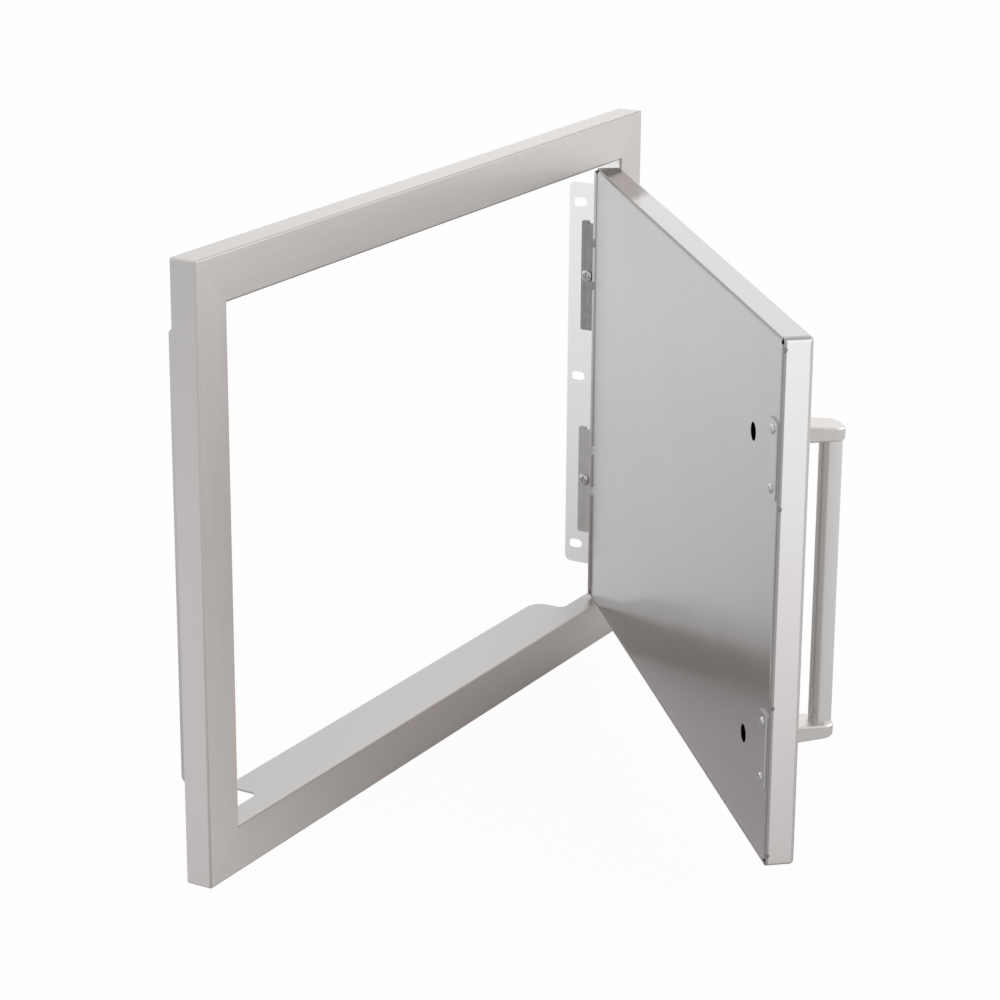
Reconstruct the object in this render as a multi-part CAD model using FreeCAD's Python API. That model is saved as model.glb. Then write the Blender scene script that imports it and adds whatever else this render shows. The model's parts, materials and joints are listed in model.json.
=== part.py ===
# Access door for an outdoor kitchen island: a folded stainless trim frame that slides
# into a cut-out, and a double-skinned door that hangs in it on two butt hinges.
#
# Millimetres, +Z up. The origin is on the island's face, under the middle of the frame:
# the trim's back edges lie in the plane y = 0, -Y looks out of the island and the frame
# stands on z = 0. The door is drawn shut and then turned about its hinge axis.
import FreeCAD, Part
import math
import os

V = FreeCAD.Vector

# Trim frame: four folded channels, welded at mitred corners
frame_width = 609.6
frame_height = 431.8
face_width = 33.8
trim_depth = 19.5
frame_sheet = 1.2
frame_bend = 1.6
frame_corner = 1.5

# Tabs that reach into the cut-out behind the trim
tab_reach = 26.5
rail_tab_length = 440.0
rail_tab_corner = 12.0
rail_tab_root = 6.0
stile_tab_length = 320.0
stile_tab_corner = 5.0
stile_tab_root = 3.0

# Fixing slots in the side tabs
slot_length = 12.0
slot_height = 7.0
slot_spacing = 144.0
slot_setback = 16.7
slots_per_tab = 3

# Door in its opening
hinge_side_gap = 5.6
latch_side_gap = 3.0
top_gap = 4.9
bottom_gap = 0.5
door_depth = 20.2
door_proud = 1.0
open_angle = 40.7

# Door skins
outer_sheet = 1.0
outer_bend = 3.0
inner_sheet = 0.8
inner_bend = 3.0
inner_flange = 8.0
pan_fit = 0.1
liner_proud = 0.7
lip_height = 2.7
lip_end_gap = 2.0
lip_notch = 7.0
lip_notch_high = 32.0
lip_notch_low = -2.7

# The inner skin's open corners, where its folds leave a square relief
corner_relief = 3.5

# Tack welds in round-bottomed notches along the free edge
tack_end_setback = 7.8
tack_middle_spacing = 135.0
tack_notch_radius = 1.7
tack_notch_depth = 2.2
tack_clearance = 0.1
tack_recess = 0.3

# Hinges
hinge_spacing = 171.8
hinge_drop = 1.4
hinge_height = 90.0
hinge_sheet = 1.2
barrel_clearance = 0.4
knuckles = 5
knuckle_gap = 0.3
leaf_relief = 0.6
frame_leaf_depth = 34.0
frame_leaf_step = 2.0
frame_leaf_step_depth = 28.0
door_leaf_depth = 15.0
leaf_corner = 1.5
pin_radius = 1.2
pin_clearance = 0.05
pin_head_radius = 2.2
pin_head_height = 1.0

# Screws and nuts that hold the hinges to the tab
hinge_screw_setback = 9.0
hinge_screw_radius = 2.5
hinge_screw_head_radius = 4.8
hinge_screw_head_height = 2.1
hinge_screw_end = 1.5
hinge_nut_flats = 8.0
hinge_nut_height = 4.0
screw_clearance = 0.15
thread_clearance = 0.05

# Rivets that hold the door leaves
leaf_rivet_radius = 1.6
leaf_rivet_head_radius = 3.2
leaf_rivet_head_height = 1.0
leaf_rivet_depth = 7.0
leaf_rivet_spacing = 54.0
leaf_rivets = 2

# Handle
handle_inset = 61.4
handle_drop = 4.0
handle_tube_length = 198.0
handle_tube_radius = 7.75
handle_tube_wall = 1.5
handle_standoff = 32.4
post_width = 25.0
post_reach = 40.3
post_root_height = 12.5
post_tip_height = 8.5
post_corner = 8.5
post_edge = 1.0
spigot_length = 6.0
spigot_fit = 0.05

# Handle screws and washers behind the outer skin
handle_screw_radius = 2.5
handle_screw_head_radius = 4.2
handle_screw_head_height = 3.2
handle_screw_reach = 12.0
washer_radius = 5.5
washer_thickness = 1.0
driver_hole_radius = 6.25

# Strike plates on the inner skin
strike_inset = 12.2
strike_drop = 1.5
strike_spacing = 198.5
strike_width = 16.0
strike_height = 52.0
strike_thickness = 1.5
strike_corner = 1.0
strike_rivet_spacing = 39.0
strike_rivet_radius = 2.0
strike_rivet_head_radius = 3.5
strike_rivet_head_height = 1.5
rivet_tail_height = 3.0
rivet_tail_swell = 0.8

# Magnetic catches on the left tab
catch_gap = 0.5
catch_width = 27.0
catch_depth = 13.0
catch_housing_height = 30.0
catch_ear_length = 11.0
catch_ear_thickness = 3.0
catch_ear_setback = 3.0
catch_edge = 1.0
magnet_width = 18.0
magnet_depth = 9.0
magnet_thickness = 7.0
pole_thickness = 1.6
pole_proud = 0.8
pole_tail = 1.0
pocket_fit = 0.1
catch_screw_radius = 1.9
catch_screw_head_radius = 3.5
catch_screw_head_height = 2.0
catch_screw_end = 5.0
catch_slot_travel = 3.0

# Small heads taper from their seat to this share of their radius
head_taper = 0.7

# How far a cutting tool runs past the surface it cuts
overrun = 1.0

# Planes and places that follow from the sizes above
face_y = -trim_depth
tab_back_y = tab_reach
opening_half = frame_width / 2 - face_width
opening_bottom = face_width
opening_top = frame_height - face_width

door_right = opening_half - hinge_side_gap
door_left = -opening_half + latch_side_gap
door_bottom = opening_bottom + bottom_gap
door_top = opening_top - top_gap
door_middle = (door_bottom + door_top) / 2
door_front_y = face_y - door_proud
door_back_y = door_front_y + door_depth
return_back_y = door_back_y - liner_proud
leaf_rivet_y = door_front_y + leaf_rivet_depth

barrel_radius = hinge_side_gap / 2 - barrel_clearance
hinge_axis_x = opening_half - hinge_side_gap / 2
hinge_axis_y = face_y
hinge_middle = frame_height / 2 - hinge_drop
hinge_centres = {
    "upper": hinge_middle + hinge_spacing / 2,
    "lower": hinge_middle - hinge_spacing / 2,
}
knuckle_pitch = hinge_height / knuckles

handle_x = door_left + handle_inset
handle_y = door_front_y - handle_standoff
handle_middle = door_middle - handle_drop
handle_screw_offset = handle_tube_length / 2 + post_root_height / 2

strike_x = door_left + strike_inset
strike_centres = {
    "upper": door_middle - strike_drop + strike_spacing / 2,
    "lower": door_middle - strike_drop - strike_spacing / 2,
}
strike_back_y = door_back_y + strike_thickness
catch_front_y = strike_back_y + catch_gap
catch_screw_offset = (catch_housing_height + catch_ear_length) / 2

nodes = {}


def box(x0, x1, y0, y1, z0, z1):
    return Part.makeBox(x1 - x0, y1 - y0, z1 - z0, V(x0, y0, z0))


def rod(start, direction, radius, length):
    return Part.makeCylinder(radius, length, start, direction)


def unit(vector):
    return vector * (1 / vector.Length)


def rounded_face(corners):
    """A flat face from (point, radius) corners; a corner with a radius becomes an arc."""
    rounded = []
    for index, (corner, radius) in enumerate(corners):
        if radius == 0:
            rounded.append((corner, None, corner))
            continue
        before = unit(corners[index - 1][0] - corner)
        after = unit(corners[(index + 1) % len(corners)][0] - corner)
        half_angle = before.getAngle(after) / 2
        run = radius / math.tan(half_angle)
        middle = corner + unit(before + after) * (radius / math.sin(half_angle) - radius)
        rounded.append((corner + before * run, middle, corner + after * run))
    edges = []
    for index, (first, middle, last) in enumerate(rounded):
        if middle is not None:
            edges.append(Part.Arc(first, middle, last).toShape())
        following = rounded[(index + 1) % len(rounded)][0]
        if last.distanceToPoint(following) > 1e-6:
            edges.append(Part.LineSegment(last, following).toShape())
    return Part.Face(Part.Wire(edges))


def aim(shape, point, direction):
    """Turn a shape drawn along +Z so that it runs along a direction from a point."""
    turned = shape.copy()
    turned.Placement = FreeCAD.Placement(point, FreeCAD.Rotation(V(0, 0, 1), direction))
    return turned


def one_solid(shape):
    """The single solid of a cut or joined shape, with its split faces merged."""
    merged = shape.removeSplitter()
    return merged.Solids[0]


def add(name, *solids):
    """Keep one node: a single solid, or several alike that share the node."""
    nodes[name] = solids[0] if len(solids) == 1 else Part.makeCompound(list(solids))


def dome(radius, height):
    """A cap of a ball, flat on z = 0 and rising to +Z."""
    ball = (radius**2 + height**2) / (2 * height)
    cap = Part.makeSphere(ball, V(0, 0, height - ball))
    return cap.common(rod(V(0, 0, 0), V(0, 0, 1), 2 * radius, 2 * height))


def tapered_head(radius, height):
    """A low conical head: its seat is z = 0 and it rises to -Z."""
    return Part.makeCone(radius, head_taper * radius, height, V(0, 0, 0), V(0, 0, -1))


def screw(head_radius, head_height, shank_radius, shank_length):
    """A screw: the head's seat is z = 0 and the shank runs to +Z."""
    head = tapered_head(head_radius, head_height)
    return one_solid(head.fuse(rod(V(0, 0, 0), V(0, 0, 1), shank_radius, shank_length)))


def blind_rivet(head, shank_radius, grip):
    """A set blind rivet: its head lies below z = 0, its swollen tail past the grip on +Z."""
    shank = rod(V(0, 0, 0), V(0, 0, 1), shank_radius, grip)
    tail_radius = shank_radius + rivet_tail_swell
    tail = rod(V(0, 0, grip), V(0, 0, 1), tail_radius, rivet_tail_height)
    return one_solid(head.fuse(shank).fuse(tail))


def tray(width, height, depth, sheet, bend, corner_bend):
    """A folded tray: its skin lies on y = 0 and its flanges run to +Y, centred on x and z."""
    half_width = width / 2
    half_height = height / 2
    outside = box(-half_width, half_width, 0, depth, -half_height, half_height)
    folds = [edge for edge in outside.Edges if edge.BoundBox.YMax < overrun]
    if corner_bend:
        folds += [edge for edge in outside.Edges if edge.BoundBox.YLength > depth / 2]
    outside = outside.makeFillet(bend, folds)
    inside = box(
        -half_width + sheet,
        half_width - sheet,
        sheet,
        depth + overrun,
        -half_height + sheet,
        half_height - sheet,
    )
    folds = [edge for edge in inside.Edges if edge.BoundBox.YMax < sheet + overrun]
    inside = inside.makeFillet(bend - sheet, folds)
    return one_solid(outside.cut(inside))


def tab_plate(length, corner, root, z0, z1):
    """A tab that grows out of a channel's inner return at y = 0, with its back corners round."""
    half = length / 2
    wide = half + root + overrun
    outline = [
        (V(-wide, -overrun, z0), 0),
        (V(wide, -overrun, z0), 0),
        (V(wide, 0, z0), 0),
        (V(half, 0, z0), root),
        (V(half, tab_back_y, z0), corner),
        (V(-half, tab_back_y, z0), corner),
        (V(-half, 0, z0), root),
        (V(-wide, 0, z0), 0),
    ]
    return rounded_face(outline).extrude(V(0, 0, z1 - z0))


def channel(length, tab_length, tab_corner, tab_root):
    """One side of the trim along X: outer edge on z = 0, face on -Y, opening towards +Z."""
    start = -length / 2
    inner_bend_radius = frame_bend - frame_sheet
    section = [
        (V(start, 0, 0), 0),
        (V(start, face_y, 0), frame_bend),
        (V(start, face_y, face_width), frame_bend),
        (V(start, 0, face_width), 0),
        (V(start, 0, face_width - frame_sheet), 0),
        (V(start, face_y + frame_sheet, face_width - frame_sheet), inner_bend_radius),
        (V(start, face_y + frame_sheet, frame_sheet), inner_bend_radius),
        (V(start, 0, frame_sheet), 0),
    ]
    strip = rounded_face(section).extrude(V(length, 0, 0))
    mitre = [
        (V(-length / 2, face_y, 0), 0),
        (V(length / 2, face_y, 0), 0),
        (V(length / 2 - face_width, face_y, face_width), 0),
        (V(-length / 2 + face_width, face_y, face_width), 0),
    ]
    strip = strip.common(rounded_face(mitre).extrude(V(0, trim_depth, 0)))
    tab = tab_plate(tab_length, tab_corner, tab_root, face_width - frame_sheet, face_width)
    return strip.fuse(tab)


def slot_cutter(x, along_z):
    """An obround hole through a side tab, long towards the back."""
    straight = (slot_length - slot_height) / 2
    radius = slot_height / 2
    reach = 2 * overrun + frame_sheet
    start = V(x, slot_setback - straight, along_z)
    finish = V(x, slot_setback + straight, along_z)
    middle = box(x, x + reach, start.y, finish.y, along_z - radius, along_z + radius)
    rounds = rod(start, V(1, 0, 0), radius, reach).fuse(rod(finish, V(1, 0, 0), radius, reach))
    return middle.fuse(rounds)


def trim_corners():
    """The frame's outer block, which rounds the welded corners a little."""
    half = frame_width / 2
    block = box(-half, half, face_y - overrun, tab_back_y + overrun, 0, frame_height)
    upright = [edge for edge in block.Edges if edge.BoundBox.YLength > trim_depth]
    return block.makeFillet(frame_corner, upright)


def build_frame():
    rail = channel(frame_width, rail_tab_length, rail_tab_corner, rail_tab_root)
    stile = channel(frame_height, stile_tab_length, stile_tab_corner, stile_tab_root)
    outer = trim_corners()
    centre = V(0, 0, frame_height / 2)

    top = rail.copy()
    top.rotate(centre, V(0, 1, 0), 180)

    stile.translate(V(0, 0, -(frame_width - frame_height) / 2))
    left = stile.copy()
    left.rotate(centre, V(0, 1, 0), 90)
    right = stile.copy()
    right.rotate(centre, V(0, 1, 0), -90)

    for index in range(slots_per_tab):
        height = frame_height / 2 + (index - (slots_per_tab - 1) / 2) * slot_spacing
        left = left.cut(slot_cutter(-opening_half - frame_sheet - overrun, height))
        right = right.cut(slot_cutter(opening_half - overrun, height))

    hinge_hole = hinge_screw_radius + screw_clearance
    for height in hinge_centres.values():
        start = V(opening_half - overrun, hinge_screw_setback, height)
        right = right.cut(rod(start, V(1, 0, 0), hinge_hole, frame_sheet + 2 * overrun))

    catch_hole = catch_screw_radius + thread_clearance
    for height in strike_centres.values():
        for side in (-1, 1):
            start = V(-opening_half + overrun, catch_screw_y(), height + side * catch_screw_offset)
            left = left.cut(rod(start, V(-1, 0, 0), catch_hole, frame_sheet + 2 * overrun))

    add("bottom_rail", one_solid(rail.common(outer)))
    add("top_rail", one_solid(top.common(outer)))
    add("left_stile", one_solid(left.common(outer)))
    add("right_stile", one_solid(right.common(outer)))


def door_pan():
    """The outer pan: front skin, four returns, and a notched lip along the hinge side."""
    width = door_right - door_left
    height = door_top - door_bottom
    pan = tray(width, height, door_depth - liner_proud, outer_sheet, outer_bend, True)
    pan.translate(V((door_left + door_right) / 2, door_front_y, door_middle))
    lip = box(
        door_right - outer_sheet,
        door_right,
        return_back_y,
        return_back_y + lip_height,
        door_bottom + lip_end_gap,
        door_top - lip_end_gap,
    )
    for centre in hinge_centres.values():
        for offset in (lip_notch_high, lip_notch_low):
            middle = centre + offset
            notch = box(
                door_right - outer_sheet - overrun,
                door_right + overrun,
                return_back_y,
                return_back_y + lip_height + overrun,
                middle - lip_notch / 2,
                middle + lip_notch / 2,
            )
            lip = lip.cut(notch)
    pan = pan.fuse(lip)

    skin_hole = handle_screw_radius + screw_clearance
    for side in (-1, 1):
        start = V(handle_x, door_front_y - overrun, handle_middle + side * handle_screw_offset)
        pan = pan.cut(rod(start, V(0, 1, 0), skin_hole, outer_sheet + 2 * overrun))
    rivet_hole = leaf_rivet_radius + thread_clearance
    for centre in hinge_centres.values():
        for height in leaf_rivet_heights(centre):
            start = V(door_right - outer_sheet - overrun, leaf_rivet_y, height)
            pan = pan.cut(rod(start, V(1, 0, 0), rivet_hole, outer_sheet + 2 * overrun))
    for height in tack_heights():
        x0 = door_left - overrun
        start = V(x0, tack_y(), height)
        round_end = rod(start, V(1, 0, 0), tack_notch_radius, outer_sheet + 2 * overrun)
        mouth = box(
            x0,
            door_left + outer_sheet + overrun,
            tack_y(),
            door_back_y + overrun,
            height - tack_notch_radius,
            height + tack_notch_radius,
        )
        pan = pan.cut(round_end.fuse(mouth))
    return one_solid(pan)


def door_liner():
    """The inner pan: its skin is the door's back, and its flanges run forward inside the returns."""
    inset = outer_sheet + pan_fit
    width = door_right - door_left - 2 * inset
    height = door_top - door_bottom - 2 * inset
    liner = tray(width, height, inner_flange, inner_sheet, inner_bend, False)
    for side_x in (-1, 1):
        for side_z in (-1, 1):
            relief = box(
                -corner_relief,
                corner_relief,
                -overrun,
                inner_flange + overrun,
                -corner_relief,
                corner_relief,
            )
            relief.translate(V(side_x * width / 2, 0, side_z * height / 2))
            liner = liner.cut(relief)
    liner.rotate(V(0, 0, 0), V(0, 0, 1), 180)
    liner.translate(V((door_left + door_right) / 2, door_back_y, door_middle))
    for side in (-1, 1):
        height = handle_middle + side * handle_screw_offset
        start = V(handle_x, door_back_y - inner_sheet - overrun, height)
        liner = liner.cut(rod(start, V(0, 1, 0), driver_hole_radius, inner_sheet + 2 * overrun))
    rivet_hole = strike_rivet_radius + thread_clearance
    for point in strike_rivet_points():
        start = point - V(0, strike_thickness + inner_sheet + overrun, 0)
        liner = liner.cut(rod(start, V(0, 1, 0), rivet_hole, inner_sheet + 2 * overrun))
    return one_solid(liner)


def tack_y():
    """The middle of the round bottom of the tack welds' notches."""
    return return_back_y - tack_notch_depth + tack_notch_radius


def tack_heights():
    """One notch near each end of the free edge, and two about its middle."""
    return (
        door_bottom + tack_end_setback,
        door_middle - tack_middle_spacing / 2,
        door_middle + tack_middle_spacing / 2,
        door_top - tack_end_setback,
    )


def tack_weld(height, inner):
    """A bead in its notch, from just below the return's outside down to the inner skin's fold."""
    start = V(door_left + tack_recess, tack_y(), height)
    radius = tack_notch_radius - tack_clearance
    bead = rod(start, V(1, 0, 0), radius, outer_sheet + inner_bend)
    return one_solid(bead.cut(inner))


def build_door_skins():
    outer = door_pan()
    inner = door_liner()
    tacks = [tack_weld(height, inner) for height in tack_heights()]
    add_to_door("door_outer_pan", outer)
    add_to_door("door_inner_pan", inner)
    add_to_door("door_tack_welds", *tacks)


def add_to_door(name, *solids):
    """Keep a node of the door, swung open about the hinge axis."""
    swung = []
    for solid in solids:
        turned = solid.copy()
        turned.rotate(V(hinge_axis_x, hinge_axis_y, 0), V(0, 0, 1), open_angle)
        swung.append(turned)
    add(name, *swung)


def knuckle_spans(centre, first):
    """The lower and upper end of every second knuckle, from the first one up."""
    bottom = centre - hinge_height / 2
    spans = []
    for index in range(first, knuckles, 2):
        low = bottom + index * knuckle_pitch
        spans.append((low + knuckle_gap / 2, low + knuckle_pitch - knuckle_gap / 2))
    return spans


def leaf_rivet_heights(centre):
    middle = (leaf_rivets - 1) / 2
    return [centre + (index - middle) * leaf_rivet_spacing for index in range(leaf_rivets)]


def hinge_leaf(centre, first, x0, x1, outline):
    """A leaf with its knuckles: a plate between x0 and x1, cleared beside the other knuckles."""
    relief_y = hinge_axis_y + barrel_radius + leaf_relief
    plate = rounded_face(outline).extrude(V(x1 - x0, 0, 0))
    plate = plate.cut(
        box(
            x0 - overrun,
            x1 + overrun,
            hinge_axis_y - overrun,
            relief_y,
            centre - hinge_height,
            centre + hinge_height,
        )
    )
    leaf = plate
    for low, high in knuckle_spans(centre, first):
        root = box(x0, x1, hinge_axis_y, relief_y, low, high)
        knuckle = rod(V(hinge_axis_x, hinge_axis_y, low), V(0, 0, 1), barrel_radius, high - low)
        leaf = leaf.fuse(root).fuse(knuckle)
    bore = pin_radius + pin_clearance
    start = V(hinge_axis_x, hinge_axis_y, centre - hinge_height)
    return leaf.cut(rod(start, V(0, 0, 1), bore, 2 * hinge_height))


def frame_leaf(centre):
    """The leaf on the frame's tab; its front part is a little shorter at the top."""
    x1 = opening_half
    x0 = x1 - hinge_sheet
    back_y = hinge_axis_y + frame_leaf_depth
    step_y = hinge_axis_y + frame_leaf_step_depth
    low = centre - hinge_height / 2
    high = centre + hinge_height / 2
    outline = [
        (V(x0, hinge_axis_y, low), 0),
        (V(x0, back_y, low), leaf_corner),
        (V(x0, back_y, high), leaf_corner),
        (V(x0, step_y, high), 0),
        (V(x0, step_y, high - frame_leaf_step), 0),
        (V(x0, hinge_axis_y, high - frame_leaf_step), 0),
    ]
    leaf = hinge_leaf(centre, 0, x0, x1, outline)
    hole = hinge_screw_radius + screw_clearance
    start = V(x0 - overrun, hinge_screw_setback, centre)
    leaf = leaf.cut(rod(start, V(1, 0, 0), hole, hinge_sheet + 2 * overrun))
    return one_solid(leaf)


def door_leaf(centre):
    """The leaf on the door's hinge-side return."""
    x0 = door_right
    x1 = x0 + hinge_sheet
    back_y = hinge_axis_y + door_leaf_depth
    low = centre - hinge_height / 2
    high = centre + hinge_height / 2
    outline = [
        (V(x0, hinge_axis_y, low), 0),
        (V(x0, back_y, low), leaf_corner),
        (V(x0, back_y, high), leaf_corner),
        (V(x0, hinge_axis_y, high), 0),
    ]
    leaf = hinge_leaf(centre, 1, x0, x1, outline)
    hole = leaf_rivet_radius + thread_clearance
    for height in leaf_rivet_heights(centre):
        start = V(x0 - overrun, leaf_rivet_y, height)
        leaf = leaf.cut(rod(start, V(1, 0, 0), hole, hinge_sheet + 2 * overrun))
    return one_solid(leaf)


def hinge_pin(centre):
    """The pin, with a small domed head that rests on the top knuckle."""
    low = centre - hinge_height / 2
    top = knuckle_spans(centre, 0)[-1][1]
    pin = rod(V(hinge_axis_x, hinge_axis_y, low), V(0, 0, 1), pin_radius, top - low)
    head = dome(pin_head_radius, pin_head_height)
    head.translate(V(hinge_axis_x, hinge_axis_y, top))
    return one_solid(pin.fuse(head))


def hinge_nut(centre):
    """A hexagon nut behind the tab, on the hinge screw."""
    corner_radius = hinge_nut_flats / math.sqrt(3)
    corners = []
    for index in range(6):
        angle = math.radians(60 * index)
        corners.append((V(corner_radius * math.cos(angle), corner_radius * math.sin(angle), 0), 0))
    nut = rounded_face(corners).extrude(V(0, 0, hinge_nut_height))
    bore = hinge_screw_radius + thread_clearance
    nut = nut.cut(rod(V(0, 0, -overrun), V(0, 0, 1), bore, hinge_nut_height + 2 * overrun))
    return aim(nut, V(opening_half + frame_sheet, hinge_screw_setback, centre), V(1, 0, 0))


def build_hinges():
    shank = hinge_sheet + frame_sheet + hinge_nut_height + hinge_screw_end
    bolt = screw(hinge_screw_head_radius, hinge_screw_head_height, hinge_screw_radius, shank)
    head = tapered_head(leaf_rivet_head_radius, leaf_rivet_head_height)
    rivet = blind_rivet(head, leaf_rivet_radius, hinge_sheet + outer_sheet)
    screws = []
    nuts = []
    rivets = []
    for place, centre in hinge_centres.items():
        add(place + "_hinge_frame_leaf", frame_leaf(centre))
        add_to_door(place + "_hinge_door_leaf", door_leaf(centre))
        add(place + "_hinge_pin", hinge_pin(centre))
        seat = V(opening_half - hinge_sheet, hinge_screw_setback, centre)
        screws.append(aim(bolt, seat, V(1, 0, 0)))
        nuts.append(hinge_nut(centre))
        for height in leaf_rivet_heights(centre):
            seat = V(door_right + hinge_sheet, leaf_rivet_y, height)
            rivets.append(aim(rivet, seat, V(-1, 0, 0)))
    add("hinge_screws", *screws)
    add("hinge_nuts", *nuts)
    add_to_door("hinge_rivets", *rivets)


def handle_post(side):
    """A solid end post: square on the tube's side, tapering towards the tip on the other."""
    inner_z = handle_middle + side * handle_tube_length / 2
    root_z = inner_z + side * post_root_height
    tip_z = inner_z + side * post_tip_height
    tip_y = door_front_y - post_reach
    half = post_width / 2
    plan = [
        (V(handle_x - half, door_front_y, inner_z), 0),
        (V(handle_x - half, tip_y, inner_z), post_corner),
        (V(handle_x + half, tip_y, inner_z), post_corner),
        (V(handle_x + half, door_front_y, inner_z), 0),
    ]
    profile = [
        (V(handle_x - half, door_front_y, inner_z), 0),
        (V(handle_x - half, tip_y, inner_z), 0),
        (V(handle_x - half, tip_y, tip_z), 0),
        (V(handle_x - half, door_front_y, root_z), 0),
    ]
    post = rounded_face(plan).extrude(V(0, 0, side * post_root_height))
    post = post.common(rounded_face(profile).extrude(V(post_width, 0, 0)))
    rims = [
        edge
        for edge in post.Edges
        if edge.BoundBox.YMin < door_front_y - overrun and edge.BoundBox.ZLength < post_root_height / 2
    ]
    post = post.makeChamfer(post_edge, rims)

    bore = handle_screw_radius + thread_clearance
    start = V(handle_x, door_front_y + overrun, handle_middle + side * handle_screw_offset)
    post = post.cut(rod(start, V(0, -1, 0), bore, handle_screw_reach + 2 * overrun))
    spigot_radius = handle_tube_radius - handle_tube_wall - spigot_fit
    start = V(handle_x, handle_y, inner_z + side * overrun)
    spigot = rod(start, V(0, 0, -side), spigot_radius, spigot_length + overrun)
    return one_solid(post.fuse(spigot))


def build_handle():
    low = V(handle_x, handle_y, handle_middle - handle_tube_length / 2)
    tube = rod(low, V(0, 0, 1), handle_tube_radius, handle_tube_length)
    bore = handle_tube_radius - handle_tube_wall
    tube = tube.cut(rod(low, V(0, 0, 1), bore, handle_tube_length))
    add_to_door("handle_tube", one_solid(tube))

    shank = washer_thickness + outer_sheet + handle_screw_reach
    bolt = screw(handle_screw_head_radius, handle_screw_head_height, handle_screw_radius, shank)
    skin_y = door_front_y + outer_sheet
    washers = []
    screws = []
    for place, side in (("upper", 1), ("lower", -1)):
        add_to_door(place + "_handle_post", handle_post(side))
        seat = V(handle_x, skin_y, handle_middle + side * handle_screw_offset)
        washer = rod(seat, V(0, 1, 0), washer_radius, washer_thickness)
        hole = handle_screw_radius + screw_clearance
        washers.append(washer.cut(rod(seat, V(0, 1, 0), hole, washer_thickness)))
        screws.append(aim(bolt, seat + V(0, washer_thickness, 0), V(0, -1, 0)))
    add_to_door("handle_washers", *washers)
    add_to_door("handle_screws", *screws)


def strike_rivet_points():
    """Where the strike rivets' heads sit, on the backs of the plates."""
    points = []
    for centre in strike_centres.values():
        for side in (-1, 1):
            points.append(V(strike_x, strike_back_y, centre + side * strike_rivet_spacing / 2))
    return points


def strike_plate(centre):
    half_width = strike_width / 2
    half_height = strike_height / 2
    outline = [
        (V(strike_x - half_width, door_back_y, centre - half_height), strike_corner),
        (V(strike_x + half_width, door_back_y, centre - half_height), strike_corner),
        (V(strike_x + half_width, door_back_y, centre + half_height), strike_corner),
        (V(strike_x - half_width, door_back_y, centre + half_height), strike_corner),
    ]
    plate = rounded_face(outline).extrude(V(0, strike_thickness, 0))
    hole = strike_rivet_radius + thread_clearance
    for side in (-1, 1):
        start = V(strike_x, door_back_y - overrun, centre + side * strike_rivet_spacing / 2)
        plate = plate.cut(rod(start, V(0, 1, 0), hole, strike_thickness + 2 * overrun))
    return one_solid(plate)


def build_strikes():
    for place, centre in strike_centres.items():
        add_to_door(place + "_strike_plate", strike_plate(centre))
    head = dome(strike_rivet_head_radius, strike_rivet_head_height)
    head.rotate(V(0, 0, 0), V(1, 0, 0), 180)
    rivet = blind_rivet(head, strike_rivet_radius, strike_thickness + inner_sheet)
    add_to_door("strike_rivets", *[aim(rivet, point, V(0, -1, 0)) for point in strike_rivet_points()])


def catch_screw_y():
    """The middle of the catch's ears, where the screws go into the tab."""
    return catch_front_y + (catch_ear_setback + catch_depth) / 2


def catch_body(centre):
    """A moulded housing with two slotted ears; a pocket in its front holds magnet and poles."""
    tab_x = -opening_half
    housing_y = catch_front_y + pole_proud
    back_y = catch_front_y + catch_depth
    housing = box(
        tab_x,
        tab_x + catch_width,
        housing_y,
        back_y,
        centre - catch_housing_height / 2,
        centre + catch_housing_height / 2,
    )
    free_edges = [edge for edge in housing.Edges if edge.BoundBox.XMin > tab_x + overrun]
    housing = housing.makeFillet(catch_edge, free_edges)
    reach = catch_housing_height / 2 + catch_ear_length
    ears = box(
        tab_x,
        tab_x + catch_ear_thickness,
        catch_front_y + catch_ear_setback,
        back_y,
        centre - reach,
        centre + reach,
    )
    body = housing.fuse(ears)

    pocket_width = magnet_width + 2 * pocket_fit
    pocket_height = magnet_thickness + 2 * pole_thickness + 2 * pocket_fit
    pocket_x = strike_x - pocket_width / 2
    pocket = box(
        pocket_x,
        pocket_x + pocket_width,
        catch_front_y - overrun,
        catch_front_y + pole_proud + magnet_depth + pole_tail,
        centre - pocket_height / 2,
        centre + pocket_height / 2,
    )
    body = body.cut(pocket)

    radius = catch_screw_radius + screw_clearance
    reach_x = catch_ear_thickness + 2 * overrun
    start_x = tab_x - overrun
    for side in (-1, 1):
        height = centre + side * catch_screw_offset
        for shift in (-1, 1):
            start = V(start_x, catch_screw_y() + shift * catch_slot_travel / 2, height)
            body = body.cut(rod(start, V(1, 0, 0), radius, reach_x))
        straight = box(
            start_x,
            start_x + reach_x,
            catch_screw_y() - catch_slot_travel / 2,
            catch_screw_y() + catch_slot_travel / 2,
            height - radius,
            height + radius,
        )
        body = body.cut(straight)
    return one_solid(body)


def catch_core(centre):
    """The magnet, and the two steel poles that lie on its upper and lower sides."""
    x0 = strike_x - magnet_width / 2
    x1 = strike_x + magnet_width / 2
    magnet_y = catch_front_y + pole_proud
    low = centre - magnet_thickness / 2
    magnet = box(x0, x1, magnet_y, magnet_y + magnet_depth, low, low + magnet_thickness)
    poles = []
    for side in (-1, 1):
        near = centre + side * magnet_thickness / 2
        far = near + side * pole_thickness
        poles.append(
            box(x0, x1, catch_front_y, magnet_y + magnet_depth, min(near, far), max(near, far))
        )
    return magnet, poles


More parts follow.
